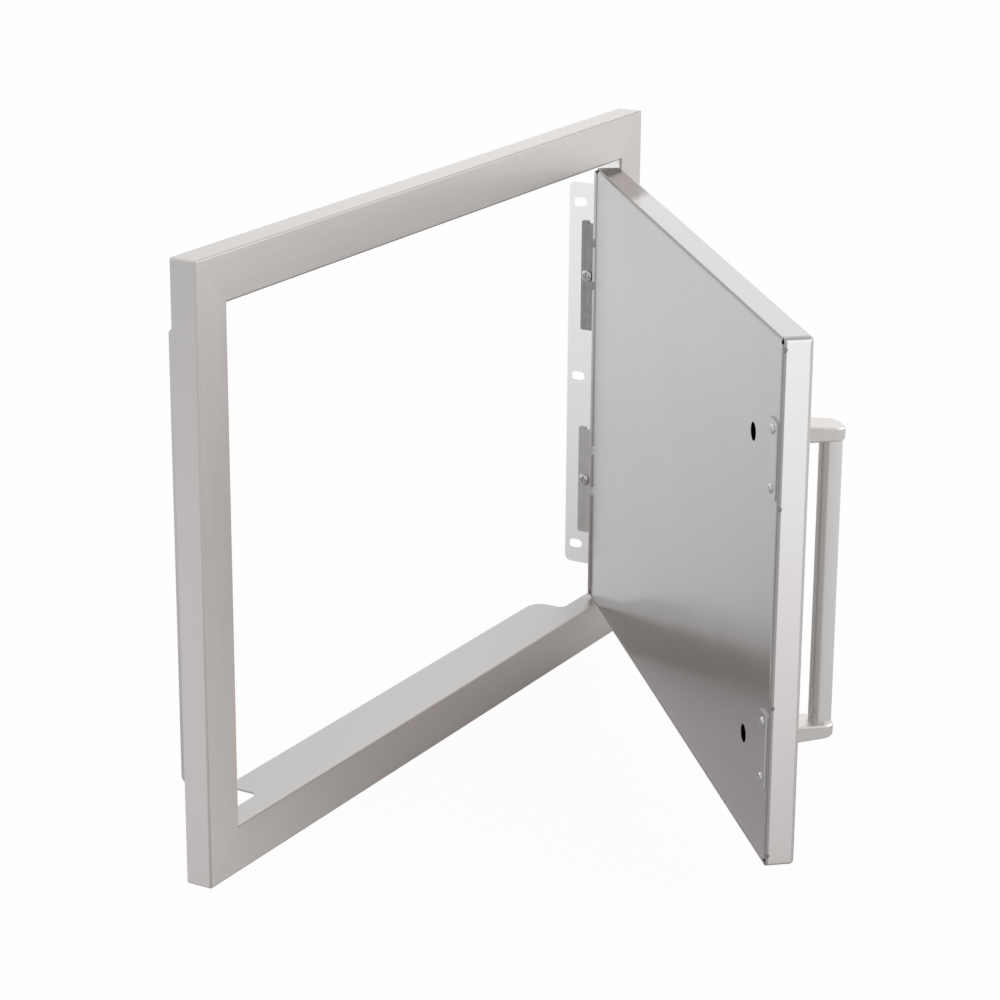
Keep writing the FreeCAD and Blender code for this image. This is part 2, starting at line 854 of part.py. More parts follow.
def build_catches():
    shank = catch_ear_thickness + frame_sheet + catch_screw_end
    bolt = screw(catch_screw_head_radius, catch_screw_head_height, catch_screw_radius, shank)
    magnets = []
    poles = []
    screws = []
    for place, centre in strike_centres.items():
        add(place + "_catch_body", catch_body(centre))
        magnet, pair = catch_core(centre)
        magnets.append(magnet)
        poles.extend(pair)
        for side in (-1, 1):
            height = centre + side * catch_screw_offset
            seat = V(-opening_half + catch_ear_thickness, catch_screw_y(), height)
            screws.append(aim(bolt, seat, V(-1, 0, 0)))
    add("catch_magnets", *magnets)
    add("catch_pole_plates", *poles)
    add("catch_screws", *screws)


def save():
    os.makedirs("parts", exist_ok=True)
    for name, shape in nodes.items():
        shape.exportStep("parts/" + name + ".step")
        state = "valid" if shape.isValid() else "not valid"
        print(name, len(shape.Solids), state, round(shape.Volume, 1))


build_frame()
build_door_skins()
build_hinges()
build_handle()
build_strikes()
build_catches()
save()
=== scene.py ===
import json
import math

import bmesh
import bpy
from mathutils import Matrix, Vector


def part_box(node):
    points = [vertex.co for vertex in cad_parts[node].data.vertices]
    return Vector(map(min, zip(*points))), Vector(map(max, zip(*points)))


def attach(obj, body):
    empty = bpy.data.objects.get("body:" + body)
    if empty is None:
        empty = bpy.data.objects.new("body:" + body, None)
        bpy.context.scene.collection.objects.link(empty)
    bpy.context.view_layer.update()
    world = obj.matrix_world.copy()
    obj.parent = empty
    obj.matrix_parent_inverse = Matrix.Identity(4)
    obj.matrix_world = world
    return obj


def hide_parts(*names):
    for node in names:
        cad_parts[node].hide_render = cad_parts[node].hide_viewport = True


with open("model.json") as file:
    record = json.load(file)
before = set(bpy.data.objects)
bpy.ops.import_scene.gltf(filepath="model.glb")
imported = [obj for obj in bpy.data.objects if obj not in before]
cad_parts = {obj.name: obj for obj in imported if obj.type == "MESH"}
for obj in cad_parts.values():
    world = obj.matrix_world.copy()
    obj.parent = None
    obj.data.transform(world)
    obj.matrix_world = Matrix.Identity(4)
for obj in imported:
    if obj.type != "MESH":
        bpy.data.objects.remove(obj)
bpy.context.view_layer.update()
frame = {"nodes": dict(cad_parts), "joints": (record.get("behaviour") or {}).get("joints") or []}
nodes = frame["nodes"]

MM = 0.001

# The photograph's camera: where it looks, from how far and which way, and its roll.
LOOK_AT = Vector((0.0814, -0.0195, 0.1678))
CAMERA_DISTANCE = 2.2586
CAMERA_AZIMUTH = -60.178
CAMERA_ELEVATION = 17.888
CAMERA_ROLL = -0.350
CAMERA_LENS = 106.84
SENSOR_WIDTH = 36.0
CAMERA_CLIP_END = 60.0

# The door's axis, and the height halfway between its two hinges. The door stands open in
# the photograph, which is the rest pose, so the joint's lower limit is what turns it shut.
hinge = frame["joints"][0]
HINGE_LINE = Vector((hinge["pos_m"][0], hinge["pos_m"][1], 0.0))
HINGE_MIDDLE = hinge["pos_m"][2]
DOOR_ANGLE = -math.radians(hinge["range_deg"][0])


def door_box(name):
    """A door node's lowest and highest corners with the door shut, from the hinge line."""
    shut = Matrix.Rotation(-DOOR_ANGLE, 3, "Z")
    places = [shut @ (vert.co - HINGE_LINE) for vert in nodes[name].data.vertices]
    return tuple(
        Vector([pick(place[axis] for place in places) for axis in range(3)])
        for pick in (min, max)
    )


# The trim frame's ends, its front, and the face of the island that it stands on.
TRIM_ENDS = {
    "x": (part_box("left_stile")[0].x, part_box("right_stile")[1].x),
    "z": (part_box("bottom_rail")[0].z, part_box("top_rail")[1].z),
}
TRIM_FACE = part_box("top_rail")[0].y
ISLAND_FACE = 0.0

# The door's outer pan. Its low y is the skin, and the liner stands proud of its returns.
DOOR_LOW, DOOR_HIGH = door_box("door_outer_pan")
DOOR_SHEET = 1.0 * MM
LINER_PROUD = 0.7 * MM
RETURN_BACK = door_box("door_inner_pan")[1].y - LINER_PROUD

# Depths behind the face: a fold's tone comes in over the first pair, and gives way to
# the return's over the second.
TRIM_FOLD = ((0.005 * MM, 0.1 * MM), (1.0 * MM, 1.6 * MM))
DOOR_FOLD = ((0.02 * MM, 0.4 * MM), (2.2 * MM, 3.0 * MM))

# The mill's own finish starts where the tabs go into the island, or just behind the
# folds. The belt's last marks fade over a millimetre.
MILL_FROM_ISLAND = ISLAND_FACE
MILL_FROM_FOLD = TRIM_FACE + TRIM_FOLD[1][1]
MILL_BLEND = 1.0 * MM

# The end of the door's top return by the hinge is painted darker, a painted reflection
# of the frame: where along x it gives way to the plain steel, and how far that line
# leans away from the hinge for each millimetre of depth.
PAINTED_REFLECTION_END = (-114 * MM, -89 * MM)
PAINTED_REFLECTION_LEAN = 1.23

# The outer pan is rougher and painted darker, a painted shade, near the top and the foot
# of its side returns, this many times as far from the ends of the other two, and near the
# back of the free edge, taken this wide. The roughness and the painted shade start at the
# first distance of a pair and are full at the second.
CORNER_DULL_SHADE = (2.1 * MM, 1.5 * MM)
CORNER_STRETCH = 2.5
BRIM_DULL_SHADE = (2.0 * MM, 1.2 * MM)
FREE_EDGE_WIDTH = 3.0 * MM

# The liner is painted darker near the door's edges, a painted shade in the seam between the
# pans.
SEAM_SHADE = (3.4 * MM, 1.8 * MM)

# A belt of about 180 grit leaves parallel scratches 0.1 mm apart and a few
# centimetres long. They are drawn about 0.8 mm apart, because finer ones don't show.
SCRATCH_SPACING = 0.8 * MM
SCRATCH_RUN = 120 * MM

# Thin sheet never lies quite flat: it swells and sinks by a few tenths of a
# millimetre over a hand's width, which bends what it reflects.
SHEET_WAVE = 130 * MM

# How wide the marks of each finish are.
ROLLED_CLOUD = 71.4 * MM
PICKLED_STAIN = 6.25 * MM
PLATED_PEEL = 1.43 * MM
DRIVER_SCUFF = 1.11 * MM
ZINC_PATCH = 3.85 * MM
HEAT_TINT = 2.0 * MM
WELD_RIPPLE = 0.98 * MM

# Spark-eroded grain, a ferrite's pits and paper fibres are all nearer 0.1 mm wide. They
# are drawn this coarse, because finer ones don't show.
ERODED_GRAIN = 0.455 * MM
FERRITE_PIT = 0.714 * MM
PAPER_FIBRE = 3.33 * MM


def linear(hex_code):
    """A linear colour from an sRGB hex value."""
    channels = [int(hex_code[i:i + 2], 16) / 255 for i in (1, 3, 5)]
    levels = [c / 12.92 if c <= 0.04045 else ((c + 0.055) / 1.055) ** 2.4 for c in channels]
    return (*levels, 1.0)


def add_node(tree, kind, inputs=None, **settings):
    """One shader or geometry node, with its settings, constants and links."""
    made = tree.nodes.new(kind)
    for name, value in settings.items():
        setattr(made, name, value)
    for name, value in (inputs or {}).items():
        socket = made.inputs[name]
        if isinstance(value, bpy.types.NodeSocket):
            tree.links.new(value, socket)
        else:
            socket.default_value = value
    return made


def new_material(name):
    """An empty material, and the node tree to fill."""
    material = bpy.data.materials.new(name)
    material.use_nodes = True
    material.node_tree.nodes.clear()
    return material, material.node_tree


def belt_scratches(tree, place, along):
    """Long fine streaks along one axis, from 0 to 1."""
    across = 1 / SCRATCH_SPACING
    run = 1 / SCRATCH_RUN
    scale = {"x": (run, across, across), "y": (across, run, across), "z": (across, across, run)}
    stretched = add_node(
        tree, "ShaderNodeMapping", {"Vector": place, "Scale": scale[along]}
    ).outputs[0]
    return add_node(
        tree, "ShaderNodeTexNoise",
        {"Vector": stretched, "Scale": 1.0, "Detail": 3.0, "Roughness": 0.62},
    ).outputs["Fac"]


def sheet_waves(tree, place):
    """The slow rise and fall of thin sheet, from 0 to 1."""
    return add_node(
        tree, "ShaderNodeTexNoise",
        {"Vector": place, "Scale": 1 / SHEET_WAVE, "Detail": 1.5, "Roughness": 0.4},
    ).outputs["Fac"]


def brushed_tones(tree, run, tones, grain):
    """Tones that drift along a member from end to end, broken up by the belt's grain."""
    drift = add_node(tree, "ShaderNodeValToRGB", {"Fac": run})
    stops = drift.color_ramp.elements
    for between in range(1, len(tones) - 1):
        stops.new(between / (len(tones) - 1))
    for stop, tone in zip(stops, tones):
        stop.color = linear(tone)
    return add_node(
        tree, "ShaderNodeMix",
        {"Factor": 1.0, "A": drift.outputs["Color"], "B": grain},
        data_type="RGBA", blend_type="MULTIPLY",
    ).outputs["Result"]


def fold_masks(tree, depth, face, fold):
    """Whether a place has reached a fold, and whether it is past it, from 0 to 1."""
    return [
        add_node(
            tree, "ShaderNodeMapRange",
            {"Value": depth, "From Min": face + start, "From Max": face + end},
        ).outputs[0]
        for start, end in fold
    ]


def door_place(tree):
    """Places on the door as if it stood shut, measured from its hinge line."""
    place = add_node(tree, "ShaderNodeTexCoord").outputs["Object"]
    turn = Matrix.Rotation(-DOOR_ANGLE, 3, "Z")
    return add_node(
        tree, "ShaderNodeMapping",
        {"Vector": place, "Rotation": (0, 0, -DOOR_ANGLE), "Location": -(turn @ HINGE_LINE)},
    ).outputs[0]


def past_door_edge(tree, axes, axis):
    """How far a place lies past the nearer of the door's edges on one axis, in metres."""
    middle = (DOOR_LOW[axis] + DOOR_HIGH[axis]) / 2
    half = (DOOR_HIGH[axis] - DOOR_LOW[axis]) / 2
    off = add_node(tree, "ShaderNodeMath", {0: axes[axis], 1: middle}, operation="SUBTRACT")
    side = add_node(tree, "ShaderNodeMath", {0: off.outputs[0]}, operation="ABSOLUTE")
    past = add_node(tree, "ShaderNodeMath", {0: side.outputs[0], 1: half}, operation="SUBTRACT")
    return past.outputs[0]


def trim_steel(name, along, face_tones, return_tones, fold_shade, mill):
    """Folded stainless trim, type 304, its faces brushed with a belt along each member.

    The belt makes a soft satin that blurs what it reflects, with streaks along the
    grain. The tone drifts from one mitre to the next, which is painted light and shade.
    The folds are painted darker, a painted shade on the bends that also hides their
    highlight. The belt doesn't reach the tab, and on some members not the returns, so
    from there back the steel keeps the mill's smoother finish and a tone of its own.
    """
    material, tree = new_material(name)
    place = add_node(tree, "ShaderNodeTexCoord").outputs["Object"]
    axes = add_node(tree, "ShaderNodeSeparateXYZ", {0: place}).outputs
    streaks = belt_scratches(tree, place, along)
    grain = add_node(
        tree, "ShaderNodeMix",
        {"Factor": streaks, "A": linear("#F3F3F3"), "B": linear("#FFFFFF")}, data_type="RGBA",
    ).outputs["Result"]
    start, end = TRIM_ENDS[along]
    run = add_node(
        tree, "ShaderNodeMapRange",
        {"Value": axes[along.upper()], "From Min": start, "From Max": end},
    ).outputs[0]
    in_fold, past_fold = fold_masks(tree, axes["Y"], TRIM_FACE, TRIM_FOLD)
    # Painted shade: the folds are painted darker than the faces.
    folded = add_node(
        tree, "ShaderNodeMix",
        {"Factor": in_fold, "A": brushed_tones(tree, run, face_tones, grain),
         "B": linear(fold_shade)}, data_type="RGBA",
    )
    brushed = add_node(
        tree, "ShaderNodeMix",
        {"Factor": past_fold, "A": folded.outputs["Result"],
         "B": brushed_tones(tree, run, return_tones, grain)}, data_type="RGBA",
    )
    mill_start, mill_tone, mill_roughness = mill
    behind = add_node(
        tree, "ShaderNodeMapRange",
        {"Value": axes["Y"], "From Min": mill_start, "From Max": mill_start + MILL_BLEND},
    ).outputs[0]
    tone = add_node(
        tree, "ShaderNodeMix",
        {"Factor": behind, "A": brushed.outputs["Result"], "B": linear(mill_tone)},
        data_type="RGBA",
    )
    satin = add_node(
        tree, "ShaderNodeMapRange", {"Value": streaks, "To Min": 0.42, "To Max": 0.54}
    )
    rough = add_node(
        tree, "ShaderNodeMix", {"Factor": behind, "A": satin.outputs[0], "B": mill_roughness}
    )
    relief = add_node(
        tree, "ShaderNodeBump", {"Strength": 0.2, "Distance": 0.02 * MM, "Height": streaks}
    )
    surface = add_node(
        tree, "ShaderNodeBsdfPrincipled",
        {"Base Color": tone.outputs["Result"], "Metallic": 1.0,
         "Roughness": rough.outputs["Result"], "Normal": relief.outputs[0]},
    )
    add_node(tree, "ShaderNodeOutputMaterial", {"Surface": surface.outputs[0]})
    return material


def return_tone(tree, axes):
    """The tone of the door's returns: paler towards the top of the two sides, a painted
    light, and on the top one darker at the end by the hinge, a painted reflection of the frame."""
    height = add_node(
        tree, "ShaderNodeMapRange",
        {"Value": axes["Z"], "From Min": DOOR_LOW.z, "From Max": DOOR_HIGH.z},
    )
    # Painted light: the side returns are painted paler towards the top.
    side = add_node(
        tree, "ShaderNodeMix",
        {"Factor": height.outputs[0], "A": linear("#DBD6D5"), "B": linear("#F9F8F7")},
        data_type="RGBA",
    )
    leaning = add_node(
        tree, "ShaderNodeMath", {0: axes["Y"], 1: PAINTED_REFLECTION_LEAN, 2: axes["X"]},
        operation="MULTIPLY_ADD",
    )
    painted_reflection = add_node(
        tree, "ShaderNodeMapRange",
        {"Value": leaning.outputs[0], "From Min": PAINTED_REFLECTION_END[0], "From Max": PAINTED_REFLECTION_END[1]},
        interpolation_type="SMOOTHSTEP",
    )
    # Painted reflection: the top return is painted darker by the hinge, where it mirrors the
    # frame.
    top = add_node(
        tree, "ShaderNodeMix",
        {"Factor": painted_reflection.outputs[0], "A": linear("#CFCDCC"), "B": linear("#878180")},
        data_type="RGBA",
    )
    on_top = add_node(
        tree, "ShaderNodeMath", {0: axes["Z"], 1: DOOR_HIGH.z - DOOR_SHEET},
        operation="GREATER_THAN",
    )
    return add_node(
        tree, "ShaderNodeMix",
        {"Factor": on_top.outputs[0], "A": side.outputs["Result"], "B": top.outputs["Result"]},
        data_type="RGBA",
    ).outputs["Result"]


def dull_shade_places(tree, axes):
    """Where the outer pan is rougher and painted darker, a painted shade, from 0 to 1: the
    corners where two returns meet, and the cut brim of the free edge."""
    across = add_node(
        tree, "ShaderNodeMath", {0: past_door_edge(tree, axes, 0), 1: 1 / CORNER_STRETCH},
        operation="MULTIPLY",
    )
    inset = add_node(
        tree, "ShaderNodeMath", {0: across.outputs[0], 1: past_door_edge(tree, axes, 2)},
        operation="MINIMUM",
    )
    corner = add_node(
        tree, "ShaderNodeMapRange",
        {"Value": inset.outputs[0], "From Min": -CORNER_DULL_SHADE[0], "From Max": -CORNER_DULL_SHADE[1]},
        interpolation_type="SMOOTHSTEP",
    )
    brim = add_node(
        tree, "ShaderNodeMapRange",
        {"Value": axes["Y"], "From Min": RETURN_BACK - BRIM_DULL_SHADE[0],
         "From Max": RETURN_BACK - BRIM_DULL_SHADE[1]}, interpolation_type="SMOOTHSTEP",
    )
    free_edge = add_node(
        tree, "ShaderNodeMath", {0: axes["X"], 1: DOOR_LOW.x + FREE_EDGE_WIDTH},
        operation="LESS_THAN",
    )
    free_brim = add_node(
        tree, "ShaderNodeMath", {0: brim.outputs[0], 1: free_edge.outputs[0]},
        operation="MULTIPLY",
    )
    return add_node(
        tree, "ShaderNodeMath", {0: corner.outputs[0], 1: free_brim.outputs[0]},
        operation="MAXIMUM",
    ).outputs[0]


def door_skin_steel():
    """The door's outer pan, type 304: its skin brushed upright, its returns left smoother.

    The belt reaches only the skin, so the narrow returns round it are nearly bright
    and show the frame beside them. The folds take a tone of their own. The corners where
    returns meet and the free edge's cut brim are rougher and painted darker, a painted
    shade that draws fine darker lines there. The end of the top return by the hinge is
    painted darker too, a painted reflection of the frame.
    """
    material, tree = new_material("brushed_stainless_door_skin")
    place = door_place(tree)
    axes = add_node(tree, "ShaderNodeSeparateXYZ", {0: place}).outputs
    streaks = belt_scratches(tree, place, "z")
    skin = add_node(
        tree, "ShaderNodeMix",
        {"Factor": streaks, "A": linear("#C2BFBD"), "B": linear("#CECBC9")}, data_type="RGBA",
    )
    in_fold, past_fold = fold_masks(tree, axes["Y"], DOOR_LOW.y, DOOR_FOLD)
    folded = add_node(
        tree, "ShaderNodeMix",
        {"Factor": in_fold, "A": skin.outputs["Result"], "B": linear("#C6C4C3")},
        data_type="RGBA",
    )
    unshaded = add_node(
        tree, "ShaderNodeMix",
        {"Factor": past_fold, "A": folded.outputs["Result"], "B": return_tone(tree, axes)},
        data_type="RGBA",
    )
    dull_shade = dull_shade_places(tree, axes)
    # Painted shade: the corners and the free edge's brim are painted darker.
    tone = add_node(
        tree, "ShaderNodeMix",
        {"Factor": dull_shade, "A": unshaded.outputs["Result"], "B": linear("#A3A1A0")},
        data_type="RGBA",
    )
    satin = add_node(
        tree, "ShaderNodeMapRange", {"Value": streaks, "To Min": 0.26, "To Max": 0.36}
    )
    smooth = add_node(
        tree, "ShaderNodeMapRange", {"Value": streaks, "To Min": 0.16, "To Max": 0.20}
    )
    clean_rough = add_node(
        tree, "ShaderNodeMix",
        {"Factor": past_fold, "A": satin.outputs[0], "B": smooth.outputs[0]},
    )
    rough = add_node(
        tree, "ShaderNodeMix", {"Factor": dull_shade, "A": clean_rough.outputs["Result"], "B": 0.5}
    )
    scratched = add_node(
        tree, "ShaderNodeBump", {"Strength": 0.15, "Distance": 0.02 * MM, "Height": streaks}
    )
    waved = add_node(
        tree, "ShaderNodeBump",
        {"Strength": 1.0, "Distance": 0.3 * MM, "Height": sheet_waves(tree, place),
         "Normal": scratched.outputs[0]},
    )
    surface = add_node(
        tree, "ShaderNodeBsdfPrincipled",
        {"Base Color": tone.outputs["Result"], "Metallic": 1.0,
         "Roughness": rough.outputs["Result"], "Normal": waved.outputs[0]},
    )
    add_node(tree, "ShaderNodeOutputMaterial", {"Surface": surface.outputs[0]})
    return material


def liner_steel():
    """The door's inner pan: cold-rolled 2B stainless, not brushed.

    It is a cool grey and smooth enough to show the rail and the floor softly, with
    waves where the thin sheet isn't flat. Its folded edges at the sides and the top lie
    in the seam between the two pans, where a painted shade darkens them.
    """
    material, tree = new_material("cold_rolled_stainless_liner")
    place = door_place(tree)
    axes = add_node(tree, "ShaderNodeSeparateXYZ", {0: place}).outputs
    streaks = belt_scratches(tree, place, "z")
    cloud = add_node(
        tree, "ShaderNodeTexNoise", {"Vector": place, "Scale": 1 / ROLLED_CLOUD, "Detail": 3.0}
    ).outputs["Fac"]
    sheet = add_node(
        tree, "ShaderNodeMix",
        {"Factor": cloud, "A": linear("#B6B5B5"), "B": linear("#BDBCBC")}, data_type="RGBA",
    )
    upwards = add_node(
        tree, "ShaderNodeMath", {0: axes["Z"], 1: DOOR_HIGH.z}, operation="SUBTRACT"
    )
    nearest = add_node(
        tree, "ShaderNodeMath", {0: past_door_edge(tree, axes, 0), 1: upwards.outputs[0]},
        operation="MAXIMUM",
    )
    seam = add_node(
        tree, "ShaderNodeMapRange",
        {"Value": nearest.outputs[0], "From Min": -SEAM_SHADE[0], "From Max": -SEAM_SHADE[1]},
        interpolation_type="SMOOTHSTEP",
    )
    # Painted shade in the seam between the pans.
    tone = add_node(
        tree, "ShaderNodeMix",
        {"Factor": seam.outputs[0], "A": sheet.outputs["Result"], "B": linear("#8E8C8B")},
        data_type="RGBA",
    )
    rough = add_node(
        tree, "ShaderNodeMapRange", {"Value": streaks, "To Min": 0.16, "To Max": 0.20}
    )
    rolled = add_node(
        tree, "ShaderNodeBump", {"Strength": 0.08, "Distance": 0.02 * MM, "Height": streaks}
    )
    waved = add_node(
        tree, "ShaderNodeBump",
        {"Strength": 1.0, "Distance": 0.5 * MM, "Height": sheet_waves(tree, place),
         "Normal": rolled.outputs[0]},
    )
    surface = add_node(
        tree, "ShaderNodeBsdfPrincipled",
        {"Base Color": tone.outputs["Result"], "Metallic": 1.0,
         "Roughness": rough.outputs[0], "Normal": waved.outputs[0]},
    )
    add_node(tree, "ShaderNodeOutputMaterial", {"Surface": surface.outputs[0]})
    return material


def handle_steel(name, along, tones, roughness):
    """Satin stainless, type 304: the tube polished along its length and a little
    smoother, the posts towards their tips, so that each shows one soft band of light."""
    material, tree = new_material(name)
    place = door_place(tree)
    streaks = belt_scratches(tree, place, along)
    tone = add_node(
        tree, "ShaderNodeMix",
        {"Factor": streaks, "A": linear(tones[0]), "B": linear(tones[1])}, data_type="RGBA",
    )
    rough = add_node(
        tree, "ShaderNodeMapRange",
        {"Value": streaks, "To Min": roughness[0], "To Max": roughness[1]},
    )
    relief = add_node(
        tree, "ShaderNodeBump", {"Strength": 0.15, "Distance": 0.02 * MM, "Height": streaks}
    )
    surface = add_node(
        tree, "ShaderNodeBsdfPrincipled",
        {"Base Color": tone.outputs["Result"], "Metallic": 1.0,
         "Roughness": rough.outputs[0], "Normal": relief.outputs[0]},
    )
    add_node(tree, "ShaderNodeOutputMaterial", {"Surface": surface.outputs[0]})
    return material


def hinge_steel():
    """Hinge leaves stamped from pickled stainless strip: dull and darker than the trim,
    with drawing lines along the strip and small stains. The lower hinge is painted paler
    than the upper, a painted light."""
    material, tree = new_material("pickled_stainless_hinge")
    place = add_node(tree, "ShaderNodeTexCoord").outputs["Object"]
    lines = belt_scratches(tree, place, "z")
    stains = add_node(
        tree, "ShaderNodeTexNoise", {"Vector": place, "Scale": 1 / PICKLED_STAIN, "Detail": 4.0}
    ).outputs["Fac"]
    mixed = add_node(tree, "ShaderNodeMath", {0: lines, 1: stains}, operation="MULTIPLY")
    marks = add_node(
        tree, "ShaderNodeMapRange",
        {"Value": mixed.outputs[0], "From Min": 0.1, "From Max": 0.45},
    )
    shaded_leaf, lit_leaf = (
        add_node(
            tree, "ShaderNodeMix",
            {"Factor": marks.outputs[0], "A": linear(low_tone), "B": linear(high_tone)},
            data_type="RGBA",
        ).outputs["Result"]
        for low_tone, high_tone in (("#8C8A89", "#A3A1A0"), ("#AEACAB", "#C0BEBD"))
    )
    height = add_node(tree, "ShaderNodeSeparateXYZ", {0: place}).outputs["Z"]
    on_upper = add_node(
        tree, "ShaderNodeMath", {0: height, 1: HINGE_MIDDLE}, operation="GREATER_THAN"
    )
    # Painted light: the lower hinge is painted paler than the upper.
    tone = add_node(
        tree, "ShaderNodeMix", {"Factor": on_upper.outputs[0], "A": lit_leaf, "B": shaded_leaf},
        data_type="RGBA",
    )
    rough = add_node(
        tree, "ShaderNodeMapRange", {"Value": stains, "To Min": 0.34, "To Max": 0.5}
    )
    relief = add_node(
        tree, "ShaderNodeBump", {"Strength": 0.3, "Distance": 0.03 * MM, "Height": lines}
    )
    surface = add_node(
        tree, "ShaderNodeBsdfPrincipled",
        {"Base Color": tone.outputs["Result"], "Metallic": 1.0,
         "Roughness": rough.outputs[0], "Normal": relief.outputs[0]},
    )
    add_node(tree, "ShaderNodeOutputMaterial", {"Surface": surface.outputs[0]})
    return material


def strike_steel():
    """Strike plates of nickel-plated steel: nearly the liner's tone, with the
    faint orange peel that plating leaves over stamped sheet."""
    material, tree = new_material("nickel_plated_strike")
    place = add_node(tree, "ShaderNodeTexCoord").outputs["Object"]
    peel = add_node(
        tree, "ShaderNodeTexNoise", {"Vector": place, "Scale": 1 / PLATED_PEEL, "Detail": 2.0}
    ).outputs["Fac"]
    tone = add_node(
        tree, "ShaderNodeMix",
        {"Factor": peel, "A": linear("#B7B5B4"), "B": linear("#C1BFBE")}, data_type="RGBA",
    )
    rough = add_node(
        tree, "ShaderNodeMapRange", {"Value": peel, "To Min": 0.14, "To Max": 0.24}
    )
    relief = add_node(
        tree, "ShaderNodeBump", {"Strength": 0.15, "Distance": 0.03 * MM, "Height": peel}
    )
    surface = add_node(
        tree, "ShaderNodeBsdfPrincipled",
        {"Base Color": tone.outputs["Result"], "Metallic": 1.0,
         "Roughness": rough.outputs[0], "Normal": relief.outputs[0]},
    )
    add_node(tree, "ShaderNodeOutputMaterial", {"Surface": surface.outputs[0]})
    return material


def fastener_steel():
    """Screws, nuts and rivets of cold-headed stainless: bright and smooth, with small
    scuffs from the driver that break up the highlights."""
    material, tree = new_material("bright_stainless_fastener")
    place = add_node(tree, "ShaderNodeTexCoord").outputs["Object"]
    scuffs = add_node(
        tree, "ShaderNodeTexNoise", {"Vector": place, "Scale": 1 / DRIVER_SCUFF, "Detail": 3.0}
    ).outputs["Fac"]
    tone = add_node(
        tree, "ShaderNodeMix",
        {"Factor": scuffs, "A": linear("#9D9D9F"), "B": linear("#CFCFD0")}, data_type="RGBA",
    )
    rough = add_node(
        tree, "ShaderNodeMapRange", {"Value": scuffs, "To Min": 0.12, "To Max": 0.26}
    )
    relief = add_node(
        tree, "ShaderNodeBump", {"Strength": 0.15, "Distance": 0.03 * MM, "Height": scuffs}
    )
    surface = add_node(
        tree, "ShaderNodeBsdfPrincipled",
        {"Base Color": tone.outputs["Result"], "Metallic": 1.0,
         "Roughness": rough.outputs[0], "Normal": relief.outputs[0]},
    )
    add_node(tree, "ShaderNodeOutputMaterial", {"Surface": surface.outputs[0]})
    return material


def zinc_pole():
    """Magnet poles of zinc-plated steel: bluish, with the cloudy patches of the bath."""
    material, tree = new_material("zinc_plated_magnet_pole")
    place = add_node(tree, "ShaderNodeTexCoord").outputs["Object"]
    patches = add_node(
        tree, "ShaderNodeTexNoise", {"Vector": place, "Scale": 1 / ZINC_PATCH, "Detail": 3.0}
    ).outputs["Fac"]
    tone = add_node(
        tree, "ShaderNodeMix",
        {"Factor": patches, "A": linear("#9DA2A8"), "B": linear("#C2C6CB")}, data_type="RGBA",
    )
    rough = add_node(
        tree, "ShaderNodeMapRange", {"Value": patches, "To Min": 0.28, "To Max": 0.42}
    )
    surface = add_node(
        tree, "ShaderNodeBsdfPrincipled",
        {"Base Color": tone.outputs["Result"], "Metallic": 1.0, "Roughness": rough.outputs[0]},
    )
    add_node(tree, "ShaderNodeOutputMaterial", {"Surface": surface.outputs[0]})
    return material


def weld_bead():
    """Small unground tack welds: rippled, with a straw to brown heat tint, so that they
    read as dark dots in the seam."""
    material, tree = new_material("heat_tinted_tack_weld")
    place = add_node(tree, "ShaderNodeTexCoord").outputs["Object"]
    tint = add_node(
        tree, "ShaderNodeTexNoise", {"Vector": place, "Scale": 1 / HEAT_TINT, "Detail": 2.0}
    ).outputs["Fac"]
    # At scale 1 the bands of a wave texture are pi / 10 of a metre apart.
    ripples = add_node(
        tree, "ShaderNodeTexWave",
        {"Vector": place, "Scale": math.pi / 10 / WELD_RIPPLE, "Distortion": 1.5},
        bands_direction="Z",
    ).outputs["Fac"]
    tone = add_node(
        tree, "ShaderNodeMix",
        {"Factor": tint, "A": linear("#4B4541"), "B": linear("#7C736B")}, data_type="RGBA",
    )
    relief = add_node(
        tree, "ShaderNodeBump", {"Strength": 0.6, "Distance": 0.1 * MM, "Height": ripples}
    )
    surface = add_node(
        tree, "ShaderNodeBsdfPrincipled",
        {"Base Color": tone.outputs["Result"], "Metallic": 1.0, "Roughness": 0.42,
         "Normal": relief.outputs[0]},
    )
    add_node(tree, "ShaderNodeOutputMaterial", {"Surface": surface.outputs[0]})
    return material


def catch_plastic():
    """Catch housings moulded in black ABS with a spark-eroded grain, which leaves a
    matt surface and a weak broad sheen."""
    material, tree = new_material("moulded_abs_catch")
    place = add_node(tree, "ShaderNodeTexCoord").outputs["Object"]
    grain = add_node(
        tree, "ShaderNodeTexNoise", {"Vector": place, "Scale": 1 / ERODED_GRAIN, "Detail": 2.0}
    ).outputs["Fac"]
    tone = add_node(
        tree, "ShaderNodeMix",
        {"Factor": grain, "A": linear("#161617"), "B": linear("#242425")}, data_type="RGBA",
    )
    rough = add_node(
        tree, "ShaderNodeMapRange", {"Value": grain, "To Min": 0.45, "To Max": 0.6}
    )
    relief = add_node(
        tree, "ShaderNodeBump", {"Strength": 0.4, "Distance": 0.05 * MM, "Height": grain}
    )
    surface = add_node(
        tree, "ShaderNodeBsdfPrincipled",
        {"Base Color": tone.outputs["Result"], "IOR": 1.53, "Roughness": rough.outputs[0],
         "Normal": relief.outputs[0]},
    )
    add_node(tree, "ShaderNodeOutputMaterial", {"Surface": surface.outputs[0]})
    return material


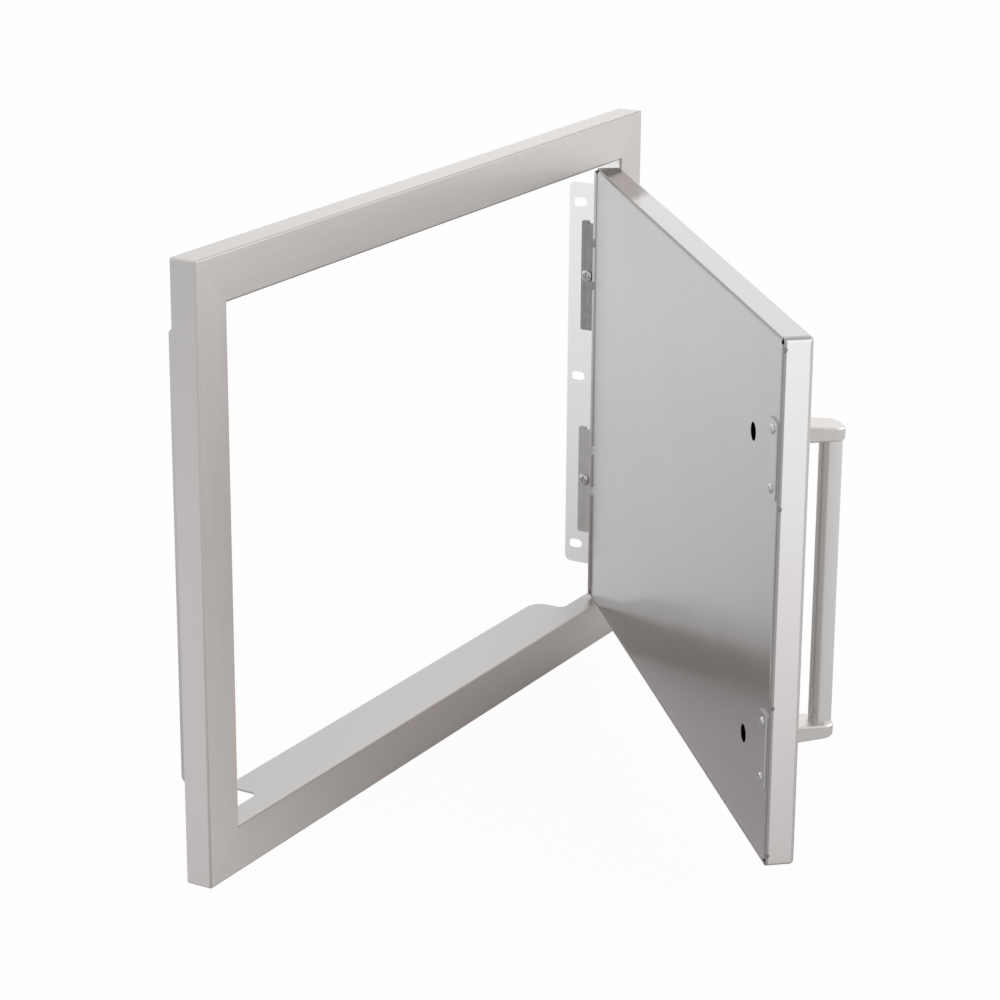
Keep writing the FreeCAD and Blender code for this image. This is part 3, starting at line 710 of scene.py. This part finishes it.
def magnet_ferrite():
    """Sintered and ground ferrite: a charcoal ceramic with fine pits and pale specks."""
    material, tree = new_material("sintered_ferrite_magnet")
    place = add_node(tree, "ShaderNodeTexCoord").outputs["Object"]
    pits = add_node(
        tree, "ShaderNodeTexVoronoi", {"Vector": place, "Scale": 1 / FERRITE_PIT}
    ).outputs["Distance"]
    tone = add_node(
        tree, "ShaderNodeMix",
        {"Factor": pits, "A": linear("#2A2A2C"), "B": linear("#4A494A")}, data_type="RGBA",
    )
    relief = add_node(
        tree, "ShaderNodeBump", {"Strength": 0.4, "Distance": 0.05 * MM, "Height": pits}
    )
    surface = add_node(
        tree, "ShaderNodeBsdfPrincipled",
        {"Base Color": tone.outputs["Result"], "IOR": 2.2, "Roughness": 0.62,
         "Normal": relief.outputs[0]},
    )
    add_node(tree, "ShaderNodeOutputMaterial", {"Surface": surface.outputs[0]})
    return material


FASTENERS = fastener_steel()
HINGES = hinge_steel()
STRIKES = strike_steel()
CATCHES = catch_plastic()
POSTS = handle_steel("satin_stainless_post", "y", ("#C3C0BE", "#CECBC9"), (0.38, 0.45))
TUBE = handle_steel("satin_stainless_tube", "z", ("#CBC9C8", "#D7D5D4"), (0.23, 0.30))

# The trim's tone at each mitre, so that the faces that meet there match. These tones
# are painted light and shade, darkest at the foot of the right stile by the hinge.
TOP_LEFT = "#EFEAE7"
TOP_RIGHT = "#D6D1CE"
BOTTOM_LEFT = "#E8E3E0"
BOTTOM_RIGHT = "#BCB7B4"

# Each member's face, fold, return and mill tones differ, though all are one steel: the
# differences are painted light and shade.
FINISHES = {
    "top_rail": trim_steel(
        "brushed_stainless_top_rail", "x", (TOP_LEFT, "#E0DBD8", TOP_RIGHT),
        ("#C7C4C2", "#C7C4C2"), "#A5A19F", (MILL_FROM_ISLAND, "#D3CFCC", 0.3),
    ),
    "bottom_rail": trim_steel(
        "brushed_stainless_bottom_rail", "x", (BOTTOM_LEFT, "#D5D0CD", BOTTOM_RIGHT),
        ("#BEBBB9", "#BEBBB9"), "#BFBAB7", (MILL_FROM_FOLD, "#B7B5B4", 0.34),
    ),
    "left_stile": trim_steel(
        "brushed_stainless_left_stile", "z", (BOTTOM_LEFT, "#FCF7F4", TOP_LEFT),
        ("#E4E0DF", "#C6C3C3"), "#BCB8B6", (MILL_FROM_ISLAND, "#C5C3C2", 0.26),
    ),
    "right_stile": trim_steel(
        "brushed_stainless_right_stile", "z", (BOTTOM_RIGHT, "#C8C3C0", TOP_RIGHT),
        ("#F1EFEE", "#F1EFEE"), "#A5A19F", (MILL_FROM_FOLD, "#FAFAF9", 0.24),
    ),
    "upper_hinge_frame_leaf": HINGES,
    "lower_hinge_frame_leaf": HINGES,
    "upper_hinge_door_leaf": HINGES,
    "lower_hinge_door_leaf": HINGES,
    "upper_hinge_pin": FASTENERS,
    "lower_hinge_pin": FASTENERS,
    "hinge_nuts": FASTENERS,
    "hinge_rivets": FASTENERS,
    "upper_catch_body": CATCHES,
    "lower_catch_body": CATCHES,
    "catch_magnets": magnet_ferrite(),
    "catch_pole_plates": zinc_pole(),
    "door_outer_pan": door_skin_steel(),
    "door_inner_pan": liner_steel(),
    "door_tack_welds": weld_bead(),
    "handle_tube": TUBE,
    "upper_handle_post": POSTS,
    "lower_handle_post": POSTS,
    "handle_screws": FASTENERS,
    "handle_washers": FASTENERS,
    "upper_strike_plate": STRIKES,
    "lower_strike_plate": STRIKES,
}

for name, material in FINISHES.items():
    for slot in nodes[name].material_slots:
        slot.material = material


# The fasteners as the solids have them: the head's radius and height, then the shank's
# radius and how far it runs from the head's seat.
HINGE_SCREW = (4.8 * MM, 2.1 * MM, 2.5 * MM, 7.9 * MM)
CATCH_SCREW = (3.5 * MM, 2.0 * MM, 1.9 * MM, 9.2 * MM)
STRIKE_RIVET = (3.5 * MM, 1.5 * MM, 2.0 * MM, 2.3 * MM)

# The radius and height of a set rivet's tail, and how far apart the fasteners stand.
RIVET_TAIL = (2.8 * MM, 3.0 * MM)
CATCH_SCREW_SPACING = 41.0 * MM
STRIKE_RIVET_SPACING = 39.0 * MM
HINGE_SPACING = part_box("upper_hinge_frame_leaf")[0].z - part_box("lower_hinge_frame_leaf")[0].z
STRIKE_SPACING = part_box("upper_strike_plate")[0].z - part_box("lower_strike_plate")[0].z

# How finely the fasteners are drawn, and the bend past which an edge of theirs is sharp.
TURNED_SIDES = 48
SCREW_HEAD_RINGS = 18
RIVET_DOME_RINGS = 10
SHARP_BEND = math.radians(35)


def turned(profile):
    """A fastener turned about Z from (radius, height) points, from its tip to its head."""
    shape = bmesh.new()
    rings = []
    for radius, height in profile:
        turns = TURNED_SIDES if radius > 0 else 1
        angles = [2 * math.pi * side / turns for side in range(turns)]
        rings.append([
            shape.verts.new((radius * math.cos(angle), radius * math.sin(angle), height))
            for angle in angles
        ])
    for lower, upper in zip(rings, rings[1:]):
        for side in range(TURNED_SIDES):
            after = (side + 1) % TURNED_SIDES
            corners = (
                lower[side % len(lower)], lower[after % len(lower)],
                upper[after % len(upper)], upper[side % len(upper)],
            )
            shape.faces.new(list(dict.fromkeys(corners)))
    return shape


def finished_mesh(name, shape):
    """The shape as a smooth mesh with its faces outwards and its corners kept sharp."""
    bmesh.ops.recalc_face_normals(shape, faces=shape.faces)
    mesh = bpy.data.meshes.new(name)
    shape.to_mesh(mesh)
    shape.free()
    for face in mesh.polygons:
        face.use_smooth = True
    mesh.set_sharp_from_angle(angle=SHARP_BEND)
    return mesh


def pan_head_screw(name, sizes):
    """A pan-head screw with a cross recess, its seat at z = 0 and its head on +Z."""
    radius, height, shank_radius, reach = sizes
    chamfer = 0.3 * shank_radius
    rim_height = 0.4 * height
    profile = [
        (0, -reach), (shank_radius - chamfer, -reach), (shank_radius, chamfer - reach),
        (shank_radius, 0), (0.96 * radius, 0), (radius, 0.08 * height),
    ]
    for ring in range(SCREW_HEAD_RINGS):
        out = 1 - ring / SCREW_HEAD_RINGS
        rise = (height - rim_height) * math.sqrt(1 - out ** 2)
        profile.append((out * radius, rim_height + rise))
    profile.append((0, height))
    shape = turned(profile)

    # The recess is deepest in the middle and shallower towards the tips of its arms.
    arm = 0.58 * radius
    arm_half_width = 0.14 * radius
    for vert in shape.verts:
        long_way = max(abs(vert.co.x), abs(vert.co.y))
        short_way = min(abs(vert.co.x), abs(vert.co.y))
        in_arm = long_way < arm and short_way < arm_half_width
        if in_arm and vert.co.z > 0.3 * height:
            vert.co.z -= 0.75 * height * (1 - 0.7 * long_way / arm)
    return finished_mesh(name, shape)


def blind_rivet(name, sizes, tail):
    """A set blind rivet: a low dome with the broken mandrel sunk in its middle."""
    radius, height, shank_radius, grip = sizes
    tail_radius, tail_height = tail
    tip = -grip - tail_height
    profile = [
        (0, tip), (0.7 * tail_radius, tip), (tail_radius, tip + 0.3 * tail_height),
        (tail_radius, -grip), (shank_radius, -grip), (shank_radius, 0), (radius, 0),
    ]
    for ring in range(RIVET_DOME_RINGS):
        rise = math.radians(80) * (ring + 1) / (RIVET_DOME_RINGS + 1)
        profile.append((radius * math.cos(rise) ** 0.8, height * math.sin(rise)))
    hole = 0.3 * radius
    profile += [(hole, 0.97 * height), (0.85 * hole, 0.55 * height), (0, 0.62 * height)]
    return finished_mesh(name, turned(profile))


def fastener_rows():
    """The tree that sets one fastener out in equal rows, each turned the same way."""
    tree = bpy.data.node_groups.new("fastener_rows", "GeometryNodeTree")
    for name, kind in (
        ("Fastener", "Geometry"), ("Rows", "Int"), ("Row Step", "Vector"), ("Per Row", "Int"),
        ("Step", "Vector"), ("First", "Vector"), ("Turn", "Vector"), ("Finish", "Material"),
    ):
        tree.interface.new_socket(name, in_out="INPUT", socket_type="NodeSocket" + kind)
    tree.interface.new_socket("Fasteners", in_out="OUTPUT", socket_type="NodeSocketGeometry")
    given = add_node(tree, "NodeGroupInput").outputs
    rows = add_node(
        tree, "GeometryNodeMeshLine",
        {"Count": given["Rows"], "Start Location": given["First"], "Offset": given["Row Step"]},
    )
    row = add_node(
        tree, "GeometryNodeMeshLine", {"Count": given["Per Row"], "Offset": given["Step"]}
    )
    grid = add_node(
        tree, "GeometryNodeInstanceOnPoints",
        {"Points": rows.outputs[0], "Instance": row.outputs[0]},
    )
    places = add_node(tree, "GeometryNodeRealizeInstances", {"Geometry": grid.outputs[0]})
    placed = add_node(
        tree, "GeometryNodeInstanceOnPoints",
        {"Points": places.outputs[0], "Instance": given["Fastener"], "Rotation": given["Turn"]},
    )
    joined = add_node(tree, "GeometryNodeRealizeInstances", {"Geometry": placed.outputs[0]})
    finished = add_node(
        tree, "GeometryNodeSetMaterial",
        {"Geometry": joined.outputs[0], "Material": given["Finish"]},
    )
    add_node(tree, "NodeGroupOutput", {"Fasteners": finished.outputs[0]})
    return tree


FASTENER_ROWS = fastener_rows()


def fix_fasteners(name, mesh, node, body, layout):
    """Sets a fastener out in its rows and lets the result stand for its CAD node."""
    maker = bpy.data.objects.new(name + "_maker", mesh)
    bpy.context.scene.collection.objects.link(maker)
    rows = maker.modifiers.new("rows", "NODES")
    rows.node_group = FASTENER_ROWS
    given = dict(layout, Finish=FASTENERS)
    for socket in FASTENER_ROWS.interface.items_tree:
        if socket.in_out == "INPUT" and socket.name in given:
            rows[socket.identifier] = given[socket.name]
    bpy.context.view_layer.update()
    evaluated = maker.evaluated_get(bpy.context.evaluated_depsgraph_get())
    made = bpy.data.objects.new(name, bpy.data.meshes.new_from_object(evaluated))
    made.data.name = name
    bpy.data.objects.remove(maker)
    bpy.context.scene.collection.objects.link(made)
    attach(made, body)
    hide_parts(node)


low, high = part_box("hinge_screws")
head_radius, head_height = HINGE_SCREW[:2]
fix_fasteners(
    "hinge_pan_head_screws", pan_head_screw("hinge_pan_head_screw", HINGE_SCREW),
    "hinge_screws", "frame",
    {"Rows": 2, "Row Step": (0, 0, HINGE_SPACING), "Per Row": 1,
     "First": (low.x + head_height, (low.y + high.y) / 2, low.z + head_radius),
     "Turn": (0, -math.pi / 2, 0)},
)

low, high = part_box("catch_screws")
head_radius, head_height = CATCH_SCREW[:2]
fix_fasteners(
    "catch_pan_head_screws", pan_head_screw("catch_pan_head_screw", CATCH_SCREW),
    "catch_screws", "frame",
    {"Rows": 2, "Row Step": (0, 0, STRIKE_SPACING), "Per Row": 2,
     "Step": (0, 0, CATCH_SCREW_SPACING),
     "First": (high.x - head_height, (low.y + high.y) / 2, low.z + head_radius),
     "Turn": (0, math.pi / 2, 0)},
)

# The rivets' heads sit on the backs of the strikes, halfway across them, on the door.
low, high = door_box("upper_strike_plate")
on_strike = Matrix.Rotation(DOOR_ANGLE, 3, "Z") @ Vector(((low.x + high.x) / 2, high.y, 0.0))
lowest = Vector((0.0, 0.0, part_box("strike_rivets")[0].z + STRIKE_RIVET[0]))
fix_fasteners(
    "strike_blind_rivets", blind_rivet("strike_blind_rivet", STRIKE_RIVET, RIVET_TAIL),
    "strike_rivets", "door",
    {"Rows": 2, "Row Step": (0, 0, STRIKE_SPACING), "Per Row": 2,
     "Step": (0, 0, STRIKE_RIVET_SPACING), "First": HINGE_LINE + on_strike + lowest,
     "Turn": (-math.pi / 2, 0, DOOR_ANGLE)},
)


# The studio: a floor of white paper, a white surround and broad soft boxes.
FLOOR_SIZE = 14.0
SURROUND_LIGHT = 0.49

# How much of the floor is plain white: to the camera, and to what mirrors it close to
# its middle and far out. The second share rises between these distances, a painted light
# that makes the metal mirror whiter paper far from the part.
WHITE_SEEN = 0.96
WHITE_MIRRORED = (0.08, 0.65)
WHITE_RISE = (0.3, 1.5)

# The paper is painted greyer under the open door, a painted shadow. It turns to plain
# paper again between these distances from the middle of that patch.
PAINTED_SHADOW_MIDDLE = (0.06, -0.22, 0.0)
PAINTED_SHADOW_END = (0.14, 0.38)

# The soft boxes all face one point. Each has its place, its width and height in metres,
# and its power in watts.
SOFT_BOX_TARGET = Vector((0, 0, 0.2))
SOFT_BOXES = {
    "back_soft_box": ((0.0, 2.65, 1.4), 2.0, 1.6, 18),
    "front_soft_box": ((0.2, -2.6, 1.5), 2.0, 1.6, 12),
    "front_right_soft_box": ((1.85, -1.65, 1.7), 1.6, 1.6, 15),
    "right_soft_box": ((1.85, 0.5, 2.3), 1.6, 1.6, 11),
    "left_soft_box": ((-2.6, -0.8, 1.2), 1.6, 1.6, 5),
}


def white_paper():
    """Matt white paper, rolled out as a sweep, its white uneven by a hair where the fibres
    lie. The studio's light burns it out, so that it shows plain white with a trace of
    the part's shadow. Under the open door it is painted greyer, a painted shadow, and to
    what mirrors it the paper glows whiter far from the part, a painted light."""
    material, tree = new_material("white_paper_sweep")
    ray = add_node(tree, "ShaderNodeLightPath").outputs
    place = add_node(tree, "ShaderNodeTexCoord").outputs["Object"]
    seen = add_node(
        tree, "ShaderNodeMath", {0: ray["Is Camera Ray"], 1: WHITE_SEEN}, operation="MULTIPLY"
    )
    away = add_node(tree, "ShaderNodeVectorMath", {0: place}, operation="LENGTH")
    outwards = add_node(
        tree, "ShaderNodeMapRange",
        {"Value": away.outputs["Value"], "From Min": WHITE_RISE[0], "From Max": WHITE_RISE[1],
         "To Min": WHITE_MIRRORED[0], "To Max": WHITE_MIRRORED[1]},
        interpolation_type="SMOOTHSTEP",
    )
    # Painted light: what mirrors the floor sees it glow whiter far from the part.
    mirrored = add_node(
        tree, "ShaderNodeMath", {0: ray["Is Glossy Ray"], 1: outwards.outputs[0]},
        operation="MULTIPLY",
    )
    share = add_node(
        tree, "ShaderNodeMath", {0: seen.outputs[0], 1: mirrored.outputs[0]},
        operation="MAXIMUM",
    )
    fibres = add_node(
        tree, "ShaderNodeTexNoise", {"Vector": place, "Scale": 1 / PAPER_FIBRE, "Detail": 3.0}
    ).outputs["Fac"]
    plain_paper = add_node(
        tree, "ShaderNodeMix",
        {"Factor": fibres, "A": linear("#F0F0F0"), "B": linear("#F4F4F4")}, data_type="RGBA",
    )
    from_patch = add_node(
        tree, "ShaderNodeVectorMath", {0: place, 1: PAINTED_SHADOW_MIDDLE}, operation="DISTANCE"
    )
    unshaded = add_node(
        tree, "ShaderNodeMapRange",
        {"Value": from_patch.outputs["Value"], "From Min": PAINTED_SHADOW_END[0],
         "From Max": PAINTED_SHADOW_END[1]}, interpolation_type="SMOOTHSTEP",
    )
    # Painted shadow: the paper is painted greyer under the open door.
    tone = add_node(
        tree, "ShaderNodeMix",
        {"Factor": unshaded.outputs[0], "A": linear("#DAD5D4"), "B": plain_paper.outputs["Result"]},
        data_type="RGBA",
    )
    paper = add_node(tree, "ShaderNodeBsdfDiffuse", {"Color": tone.outputs["Result"]})
    white = add_node(tree, "ShaderNodeEmission", {"Color": linear("#FFFFFF"), "Strength": 1.0})
    surface = add_node(
        tree, "ShaderNodeMixShader",
        {0: share.outputs[0], 1: paper.outputs[0], 2: white.outputs[0]},
    )
    add_node(tree, "ShaderNodeOutputMaterial", {"Surface": surface.outputs[0]})
    return material


def studio_floor():
    """The sheet of paper that the part stands on."""
    mesh = bpy.data.meshes.new("studio_floor")
    half = FLOOR_SIZE / 2
    corners = [(-half, -half, 0), (half, -half, 0), (half, half, 0), (-half, half, 0)]
    mesh.from_pydata(corners, [], [(0, 1, 2, 3)])
    mesh.materials.append(white_paper())
    floor = bpy.data.objects.new("studio_floor", mesh)
    bpy.context.scene.collection.objects.link(floor)


def studio_world():
    """A surround that is white where it is seen, mirrored or looked at through something,
    and lights the part less than that."""
    world = bpy.data.worlds.new("studio_surround")
    world.use_nodes = True
    tree = world.node_tree
    tree.nodes.clear()
    ray = add_node(tree, "ShaderNodeLightPath").outputs
    mirrored = add_node(
        tree, "ShaderNodeMath", {0: ray["Is Camera Ray"], 1: ray["Is Glossy Ray"]},
        operation="MAXIMUM",
    )
    shown = add_node(
        tree, "ShaderNodeMath", {0: mirrored.outputs[0], 1: ray["Is Transmission Ray"]},
        operation="MAXIMUM",
    )
    dim, white = (
        add_node(
            tree, "ShaderNodeBackground", {"Color": linear("#FFFFFF"), "Strength": strength}
        )
        for strength in (SURROUND_LIGHT, 1.0)
    )
    surface = add_node(
        tree, "ShaderNodeMixShader",
        {0: shown.outputs[0], 1: dim.outputs[0], 2: white.outputs[0]},
    )
    add_node(tree, "ShaderNodeOutputWorld", {"Surface": surface.outputs[0]})
    bpy.context.scene.world = world


def soft_box(name, place, width, height, power):
    """A broad even lamp, turned to face the part."""
    data = bpy.data.lights.new(name, "AREA")
    data.shape = "RECTANGLE"
    data.size = width
    data.size_y = height
    data.energy = power
    lamp = bpy.data.objects.new(name, data)
    lamp.location = place
    lamp.rotation_euler = (SOFT_BOX_TARGET - Vector(place)).to_track_quat("-Z", "Y").to_euler()
    bpy.context.scene.collection.objects.link(lamp)


def photograph_camera():
    """The photograph's camera, set back from the point it looks at and then rolled."""
    azimuth = math.radians(CAMERA_AZIMUTH)
    elevation = math.radians(CAMERA_ELEVATION)
    roll = math.radians(CAMERA_ROLL)
    back = Vector((
        math.sin(azimuth) * math.cos(elevation),
        -math.cos(azimuth) * math.cos(elevation),
        math.sin(elevation),
    ))
    side = (-back).cross(Vector((0, 0, 1))).normalized()
    down = (-back).cross(side)
    image_x = side * math.cos(roll) + down * math.sin(roll)
    image_y = side * math.sin(roll) - down * math.cos(roll)
    turn = Matrix((image_x, image_y, back)).transposed().to_4x4()
    data = bpy.data.cameras.new("photograph_camera")
    data.lens = CAMERA_LENS
    data.sensor_width = SENSOR_WIDTH
    data.clip_end = CAMERA_CLIP_END
    camera = bpy.data.objects.new("photograph_camera", data)
    camera.matrix_world = Matrix.Translation(LOOK_AT + back * CAMERA_DISTANCE) @ turn
    bpy.context.scene.collection.objects.link(camera)
    bpy.context.scene.camera = camera


studio_floor()
studio_world()
for name, (place, width, height, power) in SOFT_BOXES.items():
    soft_box(name, place, width, height, power)
photograph_camera()
bpy.context.scene.view_settings.view_transform = "Standard"
